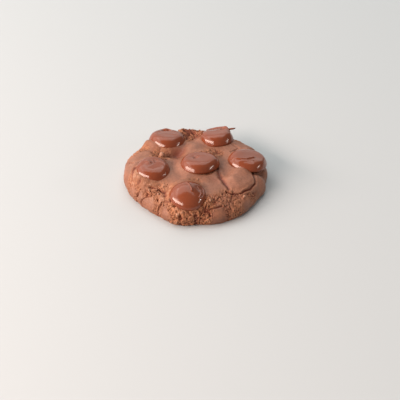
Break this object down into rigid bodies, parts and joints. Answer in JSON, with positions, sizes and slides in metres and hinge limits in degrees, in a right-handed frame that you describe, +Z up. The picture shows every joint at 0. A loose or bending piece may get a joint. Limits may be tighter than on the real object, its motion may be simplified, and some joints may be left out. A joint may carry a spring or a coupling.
{
  "type": "chocolate cookie",
  "caption": "Thick round chocolate cookie with a craggy baked top, a flat base and melted milk chocolate buttons sunk into it.",
  "frame": {"origin": "middle of the flat base that the cookie rests on", "axes": "+Z up through the cookie's thickness, -Y towards the side that faces the viewer in the picture, +X to the viewer's right"},
  "size_m": [0.0894, 0.0923, 0.0203],
  "materials": {
    "baked_dough": "dry, crumbly baked crust",
    "milk_chocolate": "melted and set, smooth and shiny"
  },
  "bodies": {
    "root": {"dough": "baked_dough", "button_centre": "milk_chocolate", "button_front": "milk_chocolate", "button_left": "milk_chocolate", "button_right": "milk_chocolate", "button_back_left": "milk_chocolate", "button_back_right": "milk_chocolate"}
  },
  "joints": []
}
